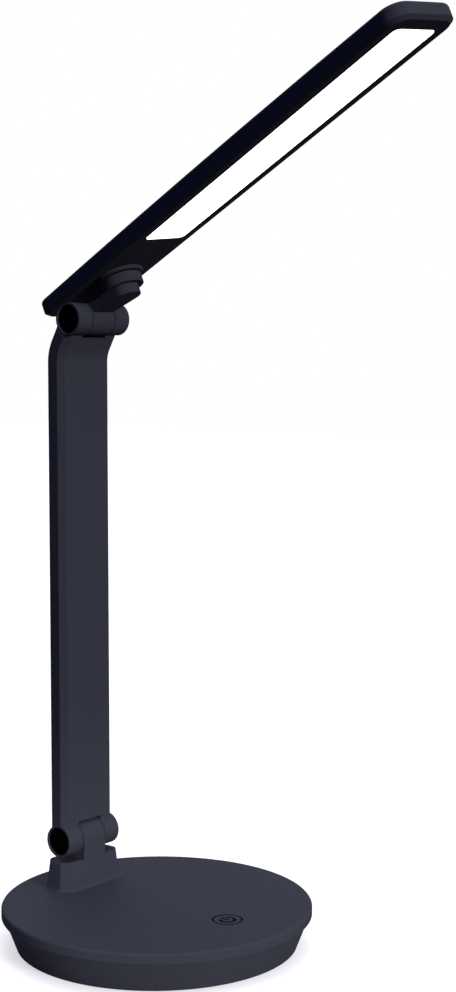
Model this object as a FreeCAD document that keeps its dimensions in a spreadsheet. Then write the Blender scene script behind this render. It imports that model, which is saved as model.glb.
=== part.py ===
import FreeCAD, Part
import math
import os
import re
import Sketcher

# A table lamp with a round weighted base, a flat arm between two knuckle hinges, and a slim
# bar head that swivels on a disc. +Z is up, the hinges lie along X, and the head reaches
# over the front, -Y. The origin is the centre of the face that the lamp rests on.

# Driving sizes in millimetres and degrees: name, value, meaning
SIZES = (
    ("base_radius", 80.0, "rim of the base"),
    ("base_height", 21.2, "top face of the base above the table"),
    ("rim_height", 5.1, "upright edge of the top cover"),
    ("rim_wall", 2.2, "wall of that edge"),
    ("rim_fillet", 1.5, "rounding of the cover's top edge"),
    ("cover_wall", 2.2, "wall of the top cover"),
    ("skirt_top_inset", 1.5, "tub inside the rim, at the seam"),
    ("skirt_foot_inset", 7.5, "tub inside the rim, at its lowest edge"),
    ("tub_wall", 1.8, "wall of the tub"),
    ("tub_floor", 1.8, "floor of the tub"),
    ("lip_height", 2.4, "tub's lip inside the rim"),
    ("lip_wall", 1.6, "wall of that lip"),
    ("lip_clearance", 0.2, "gap between lip and rim"),
    ("pad_inset", 5.5, "anti-slip pad inside the tub's lowest edge"),
    ("pad_proud", 0.4, "pad below the tub"),
    ("pad_recess", 0.8, "pad let into the tub"),
    ("pad_clearance", 0.2, "gap round the pad"),
    ("ballast_inset", 25.5, "steel weight inside the rim"),
    ("boss_inset", 20.0, "screw bosses' middles inside the rim"),
    ("boss_radius", 4.0, "screw bosses"),
    ("cover_boss_height", 8.4, "cover's bosses below its inside"),
    ("screw_radius", 1.5, "base screws"),
    ("screw_head_radius", 2.6, "base screws' heads"),
    ("screw_head_height", 1.8, "base screws' heads"),
    ("screw_counterbore", 3.0, "depth of the heads' seats"),
    ("screw_grip", 6.0, "screw length in the cover's bosses"),
    ("fit_clearance", 0.05, "gap round fixed screws, bolts and nuts"),
    ("running_clearance", 0.05, "gap round pins that turn"),
    ("board_width", 44.0, "control board along X"),
    ("board_depth", 30.0, "control board along Y"),
    ("board_thickness", 1.6, "control board"),
    ("board_inset", 44.0, "control board's middle behind the front of the rim"),
    ("post_height", 4.4, "posts that the control board hangs from"),
    ("post_radius", 2.8, "those posts"),
    ("post_margin", 3.5, "posts from the control board's edges"),
    ("board_screw_radius", 1.1, "control board screws"),
    ("board_screw_head", 2.1, "their heads' radius"),
    ("board_screw_cap", 1.4, "their heads' height"),
    ("board_screw_grip", 3.2, "their length in the posts"),
    ("chip_width", 9.0, "control chip along X"),
    ("chip_depth", 7.0, "control chip along Y"),
    ("chip_height", 1.6, "control chip"),
    ("chip_offset", 6.0, "control chip behind the board's centre"),
    ("coil_radius", 3.4, "driver coil"),
    ("coil_height", 2.8, "driver coil"),
    ("coil_offset", 12.0, "driver coil beside the board's centre"),
    ("plug_width", 5.0, "lead plugs under the board, along X"),
    ("plug_depth", 4.0, "lead plugs along Y"),
    ("plug_height", 2.0, "lead plugs, between board and leads"),
    ("touch_inset", 33.2, "touch mark behind the front of the rim"),
    ("touch_pad_radius", 6.0, "sensor pad under the touch mark"),
    ("inlet_width", 14.0, "power socket's body along X"),
    ("inlet_height", 9.0, "power socket's body"),
    ("inlet_depth", 9.0, "power socket's body along Y"),
    ("inlet_inset", 20.0, "its inner end in front of the back of the rim"),
    ("nozzle_radius", 4.0, "power socket's mouth"),
    ("nozzle_length", 4.4, "power socket's mouth"),
    ("nozzle_clearance", 0.2, "gap round that mouth"),
    ("socket_radius", 2.8, "bore of the power socket"),
    ("socket_depth", 9.5, "bore of the power socket"),
    ("contact_radius", 1.0, "contact pin in the socket"),
    ("contact_hold", 2.5, "contact pin in the socket's back wall"),
    ("contact_setback", 1.0, "contact pin's tip inside the mouth"),
    ("lead_width", 3.2, "flat leads"),
    ("lead_thickness", 1.0, "flat leads"),
    ("supply_offset", 5.0, "supply lead beside the centre line"),
    ("neck_width", 45.4, "neck at its root, along X"),
    ("neck_depth", 19.8, "neck at its root, along Y"),
    ("neck_gap", 2.2, "neck's top below the knuckles"),
    ("neck_chamfer", 5.3, "flats on the neck's corners"),
    ("neck_draft_angle", 6.75, "lean of the neck's sides, degrees"),
    ("neck_edge_fillet", 1.3, "rounding of the neck's top edge"),
    ("neck_corner_fillet", 1.6, "rounding of the neck's upright corners"),
    ("neck_root_fillet", 2.0, "rounding where the neck meets the base"),
    ("neck_core_width", 31.0, "hollow in the neck along X"),
    ("neck_core_depth", 8.0, "hollow in the neck along Y"),
    ("neck_roof", 3.0, "solid top of the neck over that hollow"),
    ("channel_width", 5.0, "lead channel along X"),
    ("channel_depth", 4.0, "lead channel along Y"),
    ("channel_stop", 5.0, "end of the channel below the lower axis"),
    ("axis_inset", 27.2, "lower hinge in front of the back of the rim"),
    ("axis_rise", 25.4, "lower hinge above the base's top face"),
    ("hinge_spacing", 273.6, "upper hinge from the lower one, along the arm"),
    ("upper_offset", 9.6, "upper hinge in front of the arm's middle"),
    ("arm_lean", 0.35, "arm leant back, degrees"),
    ("barrel_radius", 8.3, "hinge knuckles"),
    ("knuckle_width", 16.1, "middle knuckles"),
    ("knuckle_gap", 0.5, "slit beside the middle knuckles"),
    ("notch_gap", 2.2, "slit round the middle knuckles, at the arm's front"),
    ("notch_back_gap", 0.5, "slit round the middle knuckles, at the arm's back"),
    ("slit_shift", 3.0, "middle of the front slit's round in front of the hinge"),
    ("pin_radius", 2.5, "hinge bolts"),
    ("bolt_head_radius", 4.4, "hinge bolts' heads"),
    ("bolt_head_height", 2.6, "hinge bolts' heads"),
    ("nut_radius", 4.6, "hinge nuts, across corners"),
    ("nut_height", 2.8, "hinge nuts"),
    ("washer_radius", 6.4, "friction washers"),
    ("washer_thickness", 0.4, "friction washers"),
    ("counterbore_depth", 5.6, "recess in the hinges' ends"),
    ("cap_radius", 7.3, "end caps"),
    ("cap_clearance", 0.1, "gap round the end caps"),
    ("cap_thickness", 1.6, "end caps"),
    ("cap_inset", 0.8, "end caps below the hinges' end faces"),
    ("cap_rim", 0.9, "raised edge of the end caps"),
    ("cap_dish", 0.5, "hollow in the end caps"),
    ("arm_width", 37.6, "arm and hinges along X"),
    ("arm_thickness", 9.4, "arm along Y"),
    ("arm_chamfer", 3.0, "flats on the arm's front edges"),
    ("arm_bend_drop", 17.5, "bend below the upper hinge"),
    ("arm_bend_radius", 14.0, "bend, on its inner side"),
    ("arm_front_wall", 2.2, "arm shell's front"),
    ("arm_side_wall", 3.6, "arm shell's sides"),
    ("rear_rebate", 2.2, "rim beside the rear cover"),
    ("rear_cover_thickness", 2.0, "rear cover"),
    ("rear_cover_margin", 8.0, "rear cover from barrel and bend"),
    ("rear_cover_clearance", 0.15, "gap round the rear cover"),
    ("ledge_width", 4.0, "ledge under the rear cover's ends"),
    ("head_tilt", 24.0, "head above level, degrees"),
    ("swivel_angle", -12.2, "head turned about the swivel, degrees"),
    ("swivel_reach", 26.3, "swivel in front of the upper hinge"),
    ("tongue_radius", 7.5, "round end of the tongue"),
    ("tongue_bottom", 0.2, "tongue's underside above the hinge axis"),
    ("tongue_thickness", 5.15, "tongue"),
    ("tongue_fillet", 0.6, "rounding of the tongue's lower edge"),
    ("disc_radius", 10.6, "swivel disc"),
    ("disc_thickness", 5.5, "swivel disc"),
    ("disc_fillet", 0.5, "rounding of the disc"),
    ("swivel_gap", 0.6, "slit between disc and collar"),
    ("collar_radius", 12.4, "collar under the head"),
    ("collar_height", 1.5, "collar under the head"),
    ("collar_chamfer", 0.9, "flat on the collar's edge"),
    ("swivel_pin_radius", 3.0, "swivel bolt"),
    ("swivel_pin_depth", 8.6, "swivel bolt in the bracket"),
    ("swivel_head_radius", 6.5, "swivel bolt's head"),
    ("swivel_head_height", 2.0, "swivel bolt's head"),
    ("slip_washer_radius", 8.6, "slip washer on the disc"),
    ("slip_washer_thickness", 0.5, "slip washer on the disc"),
    ("spring_washer_radius", 8.0, "spring washer under the bolt's head"),
    ("spring_washer_thickness", 0.6, "spring washer under the bolt's head"),
    ("swivel_play", 0.1, "gap between the washers and the head"),
    ("head_width", 37.2, "head along its cross axis"),
    ("head_inner", 53.0, "head behind the swivel"),
    ("head_outer", 246.2, "head in front of the swivel"),
    ("head_edge_height", 8.0, "head at both ends"),
    ("head_crown", 1.1, "rise of the head's top at mid length"),
    ("head_corner", 9.0, "rounding of the head's corners"),
    ("head_top_fillet", 1.8, "rounding of the head's top edges"),
    ("bezel_height", 2.4, "lower housing"),
    ("bevel_width", 2.0, "bevel on the lower housing"),
    ("bevel_height", 1.6, "bevel on the lower housing"),
    ("bezel_lip_height", 1.6, "lip of the lower housing inside the cover"),
    ("bezel_lip_wall", 1.2, "wall of that lip"),
    ("bezel_lip_clearance", 0.15, "gap between lip and cover"),
    ("head_wall", 1.8, "cover's walls and roof"),
    ("window_side", 6.7, "lit panel from the head's sides"),
    ("window_near", 41.9, "lit panel's inner end in front of the swivel"),
    ("window_end", 9.4, "lit panel from the head's outer end"),
    ("window_corner", 3.0, "rounding of the lit panel's corners"),
    ("window_clearance", 0.12, "gap round the lit panel"),
    ("flange_width", 1.6, "lit panel's flange inside the housing"),
    ("flange_thickness", 1.2, "that flange"),
    ("led_board_side", 5.1, "LED board from the head's sides"),
    ("led_board_thickness", 1.0, "LED board"),
    ("led_board_extra", 10.0, "LED board beyond the panel's inner end"),
    ("led_width", 3.5, "LED"),
    ("led_length", 2.8, "LED"),
    ("led_height", 0.7, "LED"),
    ("led_row_spacing", 13.0, "rows of LEDs"),
    ("led_margin", 8.0, "first and last LED from the panel's ends"),
    ("connector_width", 8.0, "connector on the LED board"),
    ("connector_length", 4.6, "connector on the LED board"),
    ("head_lead_start", 9.5, "head's lead in front of the swivel"),
    ("overrun", 2.0, "extra length of cuts that pass right through"),
)
LEDS_PER_ROW = 16
NEAR = 1e-4
START = 1.0

document = FreeCAD.newDocument("table_lamp")
sheet = document.addObject("Spreadsheet::Sheet", "Sizes")
for row, (alias, size, meaning) in enumerate(SIZES, start=1):
    sheet.set(f"A{row}", alias)
    sheet.set(f"B{row}", str(size))
    sheet.set(f"C{row}", meaning)
    sheet.setAlias(f"B{row}", alias)
gauge = document.addObject("App::FeaturePython", "Gauge")
gauge.addProperty("App::PropertyFloat", "reading")
document.recompute()
ALIASES = {alias for alias, size, meaning in SIZES}

# Heights and places that several pieces share, as sums of the sizes
RIM_BOTTOM = "(base_height - rim_height)"
SKIRT_TOP = "(base_radius - skirt_top_inset)"
SKIRT_FOOT = "(base_radius - skirt_foot_inset)"
PAD_RADIUS = f"({SKIRT_FOOT} - pad_inset)"
BALLAST_RADIUS = "(base_radius - ballast_inset)"
BOSS_SPREAD = "((base_radius - boss_inset) * cos(45))"
BOARD_Y = "(board_inset - base_radius)"
TOUCH_Y = "(touch_inset - base_radius)"
INLET_INNER = "(base_radius - inlet_inset)"
LOWER_Y = "(base_radius - axis_inset)"
LOWER_Z = "(base_height + axis_rise)"
NECK_HEIGHT = "(axis_rise - barrel_radius - neck_gap)"
COVER_INSIDE = "(base_height - cover_wall)"
FLOOR_BOTTOM = "(pad_proud + pad_recess)"
FLOOR_TOP = f"({FLOOR_BOTTOM} + tub_floor)"
BOSS_SEAM = f"({COVER_INSIDE} - cover_boss_height)"
SCREW_SEAT = f"({FLOOR_BOTTOM} + screw_counterbore)"
BOARD_TOP = f"({COVER_INSIDE} - post_height)"
BOARD_BOTTOM = f"({BOARD_TOP} - board_thickness)"
BALLAST_TOP = f"({BOARD_BOTTOM} - plug_height - lead_thickness)"
POST_X = "(board_width / 2 - post_margin)"
POST_Y = "(board_depth / 2 - post_margin)"
PLUG_Y = f"({BOARD_Y} + board_depth / 2 - plug_depth)"
INLET_AXIS = f"({FLOOR_TOP} + inlet_height / 2)"
INLET_OUTER = f"({INLET_INNER} + inlet_depth)"
SOCKET_FLOOR = f"({INLET_OUTER} + nozzle_length - socket_depth)"
UPPER_Y = f"({LOWER_Y} - upper_offset * cos(arm_lean) + hinge_spacing * sin(arm_lean))"
UPPER_Z = f"({LOWER_Z} + upper_offset * sin(arm_lean) + hinge_spacing * cos(arm_lean))"
AXES = ((LOWER_Y, LOWER_Z), (UPPER_Y, UPPER_Z))
ARM_AXES = (("0", "0"), ("-upper_offset", "hinge_spacing"))
HINGES = ("lower", "upper")
BOLT_SEAT = "(arm_width / 2 - counterbore_depth)"
KNUCKLE_SIDE = "(knuckle_width / 2 + knuckle_gap)"
ARM_HALF = "(arm_thickness / 2)"
ARM_BEND = "(hinge_spacing - arm_bend_drop)"
BEND_ANGLE = "atan(upper_offset / arm_bend_drop)"
SLIT_RADIUS = "sqrt((barrel_radius + notch_gap) ^ 2 - arm_thickness * slit_shift + slit_shift ^ 2)"
SLIT_MIDDLES = (
    ("-slit_shift", "0"),
    (f"-upper_offset - slit_shift * cos({BEND_ANGLE})", f"hinge_spacing - slit_shift * sin({BEND_ANGLE})"),
)
REAR_LOW = "(barrel_radius + rear_cover_margin)"
REAR_HIGH = f"({ARM_BEND} - rear_cover_margin)"
REAR_SIDE = "(arm_width / 2 - rear_rebate)"
DISC_BOTTOM = "(tongue_bottom + tongue_thickness)"
DISC_TOP = f"({DISC_BOTTOM} + disc_thickness)"
HEAD_RISE = f"({DISC_TOP} + swivel_gap + collar_height)"
HEAD_ROOF = "(head_edge_height - head_wall)"
WINDOW_FAR = "(head_outer - window_end)"
WINDOW_HALF = "(head_width / 2 - window_side)"
LED_BOARD_BOTTOM = f"({HEAD_ROOF} - led_board_thickness)"
LED_BOARD_NEAR = "(window_near - led_board_extra)"
LED_BOARD_FAR = f"({WINDOW_FAR} + flange_width)"

# Frames of the leaning arm, of the tilting bracket and of the head that swivels on it
ARM_FRAME = f"placement(vector(0; {LOWER_Y}; {LOWER_Z}); rotation(vector(1; 0; 0); -arm_lean))"
BRACKET_FRAME = f"placement(vector(0; {UPPER_Y}; {UPPER_Z}); rotation(vector(1; 0; 0); -head_tilt))"
SWIVEL_FRAME = f"placement(vector(0; -swivel_reach; {HEAD_RISE}); rotation(vector(0; 0; 1); swivel_angle))"
HEAD_FRAME = f"{BRACKET_FRAME} * {SWIVEL_FRAME}"
ALONG_X = "rotation(vector(0; 1; 0); 90)"
ALONG_Y = "rotation(vector(1; 0; 0); -90)"

pieces = []


def formula(text):
    """Write a sum of size names as an expression on the sheet."""
    def refer(word):
        return f"Sizes.{word.group()}" if word.group() in ALIASES else word.group()
    return re.sub(r"[a-z_]+", refer, text)


def bind(item, **sums):
    """Tie properties of an object to sums of sizes."""
    for name, text in sums.items():
        item.setExpression(name, formula(text))
    return item


def measure(text):
    """Work out a sum of sizes."""
    bind(gauge, reading=text)
    document.recompute()
    return gauge.reading


def keep(item, name, frame=None):
    """Label an object as a finished piece and set its frame."""
    item.Label = name
    if frame:
        bind(item, Placement=frame)
    pieces.append(item)
    return item


def new_body(name, frame=None):
    """Start a piece that is built from sketches."""
    return keep(document.addObject("PartDesign::Body", name), name, frame)


def new_sketch(body, name, role, lift="0"):
    """Attach a sketch to one of the body's own planes, lifted along the plane's normal."""
    sketch = body.newObject("Sketcher::SketchObject", name)
    plane = next(item for item in body.Origin.OriginFeatures if item.Role == role)
    sketch.AttachmentSupport = (plane, [""])
    sketch.MapMode = "FlatFace"
    sketch.setExpression("AttachmentOffset.Base.z", formula(lift))
    return sketch


def pin(sketch, edge, point, across, along):
    """Hold a point of a sketch at a pair of sums from the sketch's origin."""
    for kind, axis, text in (("DistanceX", -2, across), ("DistanceY", -1, along)):
        if text == "0":
            sketch.addConstraint(Sketcher.Constraint("PointOnObject", edge, point, axis))
            continue
        place = sketch.addConstraint(Sketcher.Constraint(kind, -1, 1, edge, point, START))
        sketch.setExpression(f"Constraints[{place}]", formula(text))


def outline(sketch, corners):
    """Draw a closed outline of straight edges through corners given as pairs of sums."""
    first = sketch.GeometryCount
    count = len(corners)
    angles = [2 * math.pi * index / count for index in range(count + 1)]
    loose = [FreeCAD.Vector(math.cos(angle), math.sin(angle), 0) for angle in angles]
    for index in range(count):
        sketch.addGeometry(Part.LineSegment(loose[index], loose[index + 1]), False)
    for index, (across, along) in enumerate(corners):
        edge = first + index
        follower = first + (index + 1) % count
        sketch.addConstraint(Sketcher.Constraint("Coincident", edge, 2, follower, 1))
        pin(sketch, edge, 1, across, along)


def rectangle(sketch, left, right, low, high):
    """Draw a rectangle between four sums."""
    outline(sketch, ((left, low), (right, low), (right, high), (left, high)))


def bow(sketch, edge, radius, rise):
    """Turn a straight edge of an outline into an arc of a given radius and rise."""
    height = measure(rise)
    chord = sketch.Geometry[edge]
    along = chord.EndPoint - chord.StartPoint
    outwards = FreeCAD.Vector(along.y, -along.x, 0).normalize()
    summit = (chord.StartPoint + chord.EndPoint) / 2 + outwards * height
    sketch.toggleConstruction(edge)
    arc = sketch.addGeometry(Part.Arc(chord.StartPoint, summit, chord.EndPoint), False)
    sketch.addConstraint(Sketcher.Constraint("Coincident", arc, 1, edge, 1))
    sketch.addConstraint(Sketcher.Constraint("Coincident", arc, 2, edge, 2))
    place = sketch.addConstraint(Sketcher.Constraint("Radius", arc, sketch.Geometry[arc].Radius))
    sketch.setExpression(f"Constraints[{place}]", formula(radius))


def rounded_rectangle(sketch, left, right, low, high, radius):
    """Draw a rectangle between four sums, with round corners."""
    first = sketch.GeometryCount
    outline(sketch, (
        (f"{left} + {radius}", low), (f"{right} - {radius}", low),
        (right, f"{low} + {radius}"), (right, f"{high} - {radius}"),
        (f"{right} - {radius}", high), (f"{left} + {radius}", high),
        (left, f"{high} - {radius}"), (left, f"{low} + {radius}"),
    ))
    for edge in range(first + 1, sketch.GeometryCount, 2):
        bow(sketch, edge, radius, f"{radius} * (1 - cos(45))")


def circle(sketch, radius, across="0", along="0"):
    """Draw a circle of a given radius round a pair of sums."""
    centre = FreeCAD.Vector(START, START, 0)
    edge = sketch.addGeometry(Part.Circle(centre, FreeCAD.Vector(0, 0, 1), START), False)
    pin(sketch, edge, 3, across, along)
    place = sketch.addConstraint(Sketcher.Constraint("Radius", edge, START))
    sketch.setExpression(f"Constraints[{place}]", formula(radius))


def shape_from(body, kind, name, sketch, symmetric=False, backwards=False, **sums):
    """Add a pad, pocket or revolution of a sketch to a body, and see that it took effect."""
    before = body.Shape.Volume if body.Tip else 0
    made = body.newObject(f"PartDesign::{kind}", name)
    made.Profile = sketch
    if symmetric:
        made.SideType = "Symmetric"
    if backwards:
        made.Reversed = True
    if kind == "Revolution":
        made.ReferenceAxis = (sketch, ["V_Axis"])
    bind(made, **sums)
    document.recompute()
    grew = body.Shape.Volume - before
    if grew == 0 or (grew > 0) == (kind == "Pocket"):
        raise ValueError(f"{body.Label}: {name} has no effect")
    return made


def dress(body, kind, name, test, **sums):
    """Round or bevel those edges of a body that pass a test."""
    base = body.Tip
    edges = [f"Edge{index}" for index, edge in enumerate(base.Shape.Edges, start=1) if test(edge)]
    if not edges:
        raise ValueError(f"{body.Label}: {name} finds no edge")
    made = body.newObject(f"PartDesign::{kind}", name)
    made.Base = (base, edges)
    bind(made, **sums)
    document.recompute()
    return made


def lies_at(edge, axis, level):
    """Tell whether a whole edge lies at one level along an axis."""
    low = getattr(edge.BoundBox, f"{axis}Min")
    high = getattr(edge.BoundBox, f"{axis}Max")
    return abs(low - level) < NEAR and abs(high - level) < NEAR


def runs_along(edge, axis):
    """Tell whether an edge is longest along an axis, and straight."""
    spans = {name: getattr(edge.BoundBox, f"{name}Length") for name in "XYZ"}
    return all(spans[name] < NEAR for name in "XYZ" if name != axis)


def middle(edge):
    """Give the middle point of an edge."""
    return edge.valueAt((edge.FirstParameter + edge.LastParameter) / 2)


def cylinder(name, radius, height, frame):
    """Make a plain cylinder along Z of its frame."""
    item = document.addObject("Part::Cylinder", name)
    return bind(item, Radius=radius, Height=height, Placement=frame)


def box(name, low, high, frame=None):
    """Make a plain box between two corners given as sums, in the lamp's frame or another."""
    item = document.addObject("Part::Box", name)
    spans = [f"({end}) - ({start})" for start, end in zip(low, high)]
    place = f"placement(vector({low[0]}; {low[1]}; {low[2]}); rotation(vector(0; 0; 1); 0))"
    if frame:
        place = f"{frame} * {place}"
    return bind(item, Length=spans[0], Width=spans[1], Height=spans[2], Placement=place)


def cut(name, base, tool):
    """Take one solid out of another."""
    item = document.addObject("Part::Cut", name)
    item.Base = base
    item.Tool = tool
    return item


def join(name, *solids):
    """Fuse solids into one."""
    item = document.addObject("Part::MultiFuse", name)
    item.Shapes = list(solids)
    return item


def group(name, solids, frame=None):
    """Gather separate solids in one piece."""
    item = document.addObject("Part::Compound", name)
    item.Links = list(solids)
    return keep(item, name, frame)


def upright(x, y, z):
    """Give the frame of a cylinder along Z that starts at a point."""
    return f"placement(vector({x}; {y}; {z}); rotation(vector(0; 0; 1); 0))"


def across(x, y, z):
    """Give the frame of a cylinder along X that starts at a point."""
    return f"placement(vector({x}; {y}; {z}); {ALONG_X})"


def four_places(x, y, centre="0"):
    """Give the four corners of a rectangle of holes as pairs of sums."""
    return [(f"{side} * {x}", f"{centre} + {end} * {y}") for side in (-1, 1) for end in (-1, 1)]


BOSSES = four_places(BOSS_SPREAD, BOSS_SPREAD)
POSTS = four_places(POST_X, POST_Y, BOARD_Y)


def circles_at(sketch, radius, places):
    """Draw a circle of one radius at each place."""
    for x, y in places:
        circle(sketch, radius, x, y)


def base_cover():
    """Top cover of the base: shell, neck and the lower hinge's middle knuckle."""
    body = new_body("base_cover")
    shell = new_sketch(body, "cover_shell", "XZ_Plane")
    inner = "base_radius - rim_wall"
    outline(shell, (
        ("0", COVER_INSIDE), (inner, COVER_INSIDE), (inner, RIM_BOTTOM),
        ("base_radius", RIM_BOTTOM), ("base_radius", "base_height"), ("0", "base_height"),
    ))
    shape_from(body, "Revolution", "cover_turned", shell)

    top = measure("base_height")
    dress(body, "Fillet", "rim_rounding", lambda edge: lies_at(edge, "Z", top), Radius="rim_fillet")

    neck = new_sketch(body, "neck_root", "XY_Plane", "base_height")
    side = "neck_width / 2"
    flat = "(neck_width / 2 - neck_chamfer)"
    front = f"{LOWER_Y} - neck_depth / 2"
    back = f"{LOWER_Y} + neck_depth / 2"
    outline(neck, (
        (f"-{flat}", front), (flat, front), (side, f"{front} + neck_chamfer"),
        (side, f"{back} - neck_chamfer"), (flat, back), (f"-{flat}", back),
        (f"-{side}", f"{back} - neck_chamfer"), (f"-{side}", f"{front} + neck_chamfer"),
    ))
    shape_from(body, "Pad", "neck_block", neck, Length=NECK_HEIGHT, TaperAngle="-neck_draft_angle")
    summit = measure(f"base_height + {NECK_HEIGHT}")

    def rises(edge):
        return abs(edge.BoundBox.ZMin - top) < NEAR and abs(edge.BoundBox.ZMax - summit) < NEAR
    dress(body, "Fillet", "neck_corners", rises, Radius="neck_corner_fillet")
    dress(body, "Fillet", "neck_edge", lambda edge: lies_at(edge, "Z", summit), Radius="neck_edge_fillet")

    neck_side = measure("neck_width / 2") + NEAR
    neck_front = measure(front) - NEAR

    def at_root(edge):
        point = middle(edge)
        return lies_at(edge, "Z", top) and abs(point.x) < neck_side and point.y > neck_front
    dress(body, "Fillet", "neck_root_rounding", at_root, Radius="neck_root_fillet")

    column = new_sketch(body, "column_side", "YZ_Plane")
    rectangle(column, f"{LOWER_Y} - barrel_radius", f"{LOWER_Y} + barrel_radius",
              "base_height", LOWER_Z)
    shape_from(body, "Pad", "column", column, symmetric=True, Length="knuckle_width")
    barrel = new_sketch(body, "knuckle_round", "YZ_Plane")
    circle(barrel, "barrel_radius", *AXES[0])
    shape_from(body, "Pad", "knuckle", barrel, symmetric=True, Length="knuckle_width")
    bore = new_sketch(body, "knuckle_bore_round", "YZ_Plane")
    circle(bore, "pin_radius + running_clearance", *AXES[0])
    shape_from(body, "Pocket", "knuckle_bore", bore, symmetric=True, Length="knuckle_width + overrun")

    core = new_sketch(body, "neck_core_mouth", "XY_Plane", COVER_INSIDE)
    rectangle(core, "-neck_core_width / 2", "neck_core_width / 2",
              f"{LOWER_Y} - neck_core_depth / 2", f"{LOWER_Y} + neck_core_depth / 2")
    shape_from(body, "Pocket", "neck_core", core, backwards=True,
               Length=f"cover_wall + {NECK_HEIGHT} - neck_roof")
    channel = new_sketch(body, "channel_mouth", "XY_Plane", COVER_INSIDE)
    rectangle(channel, "-channel_width / 2", "channel_width / 2",
              f"{LOWER_Y} - channel_depth / 2", f"{LOWER_Y} + channel_depth / 2")
    shape_from(body, "Pocket", "lead_channel", channel, backwards=True,
               Length=f"{LOWER_Z} - channel_stop - {COVER_INSIDE}")

    bosses = new_sketch(body, "boss_ends", "XY_Plane", BOSS_SEAM)
    circles_at(bosses, "boss_radius", BOSSES)
    shape_from(body, "Pad", "bosses", bosses, Length="cover_boss_height")
    holes = new_sketch(body, "boss_hole_mouths", "XY_Plane", BOSS_SEAM)
    circles_at(holes, "screw_radius + fit_clearance", BOSSES)
    shape_from(body, "Pocket", "boss_holes", holes, backwards=True, Length="screw_grip + fit_clearance")
    posts = new_sketch(body, "post_ends", "XY_Plane", BOARD_TOP)
    circles_at(posts, "post_radius", POSTS)
    shape_from(body, "Pad", "posts", posts, Length="post_height")
    taps = new_sketch(body, "post_hole_mouths", "XY_Plane", BOARD_TOP)
    circles_at(taps, "board_screw_radius + fit_clearance", POSTS)
    shape_from(body, "Pocket", "post_holes", taps, backwards=True,
               Length="board_screw_grip + fit_clearance")


def base_tub():
    """Lower tub of the base, with its lip, screw bosses and inlet hole."""
    body = new_body("base_tub")
    wall = new_sketch(body, "tub_section", "XZ_Plane")
    lip = "base_radius - rim_wall - lip_clearance"
    recess = f"{PAD_RADIUS} + pad_clearance"
    outline(wall, (
        ("0", FLOOR_BOTTOM), (recess, FLOOR_BOTTOM), (recess, "pad_proud"), (SKIRT_FOOT, "pad_proud"),
        (SKIRT_TOP, RIM_BOTTOM), (lip, RIM_BOTTOM), (lip, f"{RIM_BOTTOM} + lip_height"),
        (f"{lip} - lip_wall", f"{RIM_BOTTOM} + lip_height"), (f"{lip} - lip_wall", RIM_BOTTOM),
        (f"{SKIRT_FOOT} - tub_wall", FLOOR_TOP), ("0", FLOOR_TOP),
    ))
    shape_from(body, "Revolution", "tub_turned", wall)
    bosses = new_sketch(body, "boss_roots", "XY_Plane", FLOOR_TOP)
    circles_at(bosses, "boss_radius", BOSSES)
    shape_from(body, "Pad", "bosses", bosses, Length=f"{BOSS_SEAM} - {FLOOR_TOP}")
    holes = new_sketch(body, "screw_hole_mouths", "XY_Plane", FLOOR_BOTTOM)
    circles_at(holes, "screw_radius + fit_clearance", BOSSES)
    shape_from(body, "Pocket", "screw_holes", holes, backwards=True,
               Length=f"{BOSS_SEAM} - {FLOOR_BOTTOM} + overrun")
    seats = new_sketch(body, "screw_seat_mouths", "XY_Plane", FLOOR_BOTTOM)
    circles_at(seats, "screw_head_radius + fit_clearance", BOSSES)
    shape_from(body, "Pocket", "screw_seats", seats, backwards=True, Length="screw_counterbore")
    inlet = new_sketch(body, "inlet_mouth", "XZ_Plane", f"-{INLET_OUTER}")
    circle(inlet, "nozzle_radius + nozzle_clearance", "0", INLET_AXIS)
    shape_from(body, "Pocket", "inlet_hole", inlet, Length="inlet_inset")


def anti_slip_pad():
    """Foam pad that the lamp stands on."""
    keep(cylinder("anti_slip_pad", PAD_RADIUS, FLOOR_BOTTOM, upright("0", "0", "0")), "anti_slip_pad")


def ballast_plate():
    """Steel weight on the tub's floor."""
    weight = cylinder("ballast_plate", BALLAST_RADIUS, f"{BALLAST_TOP} - {FLOOR_TOP}",
                      upright("0", "0", FLOOR_TOP))
    keep(weight, "ballast_plate")


def screw(name, x, y, seat, radius, length, head_radius, head_height):
    """Make one screw that points up, with its head under a seat."""
    shank = cylinder(f"{name}_shank", radius, length, upright(x, y, seat))
    head = cylinder(f"{name}_head", head_radius, head_height, upright(x, y, f"{seat} - {head_height}"))
    return join(name, shank, head)


def base_screws():
    """Screws from under the tub into the cover's bosses."""
    length = f"{BOSS_SEAM} - {SCREW_SEAT} + screw_grip"
    solids = [
        screw(f"base_screw_{index}", x, y, SCREW_SEAT, "screw_radius", length,
              "screw_head_radius", "screw_head_height")
        for index, (x, y) in enumerate(BOSSES)
    ]
    group("base_screws", solids)


def control_board():
    """Touch and driver board, hung from the cover's posts."""
    body = new_body("control_board")
    plan = new_sketch(body, "board_plan", "XY_Plane", BOARD_BOTTOM)
    rectangle(plan, "-board_width / 2", "board_width / 2",
              f"{BOARD_Y} - board_depth / 2", f"{BOARD_Y} + board_depth / 2")
    circles_at(plan, "board_screw_radius + fit_clearance", POSTS)
    shape_from(body, "Pad", "board", plan, Length="board_thickness")


def board_screws():
    """Screws from under the control board into its posts."""
    length = "board_thickness + board_screw_grip"
    solids = [
        screw(f"board_screw_{index}", x, y, BOARD_BOTTOM, "board_screw_radius", length,
              "board_screw_head", "board_screw_cap")
        for index, (x, y) in enumerate(POSTS)
    ]
    group("board_screws", solids)


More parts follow.
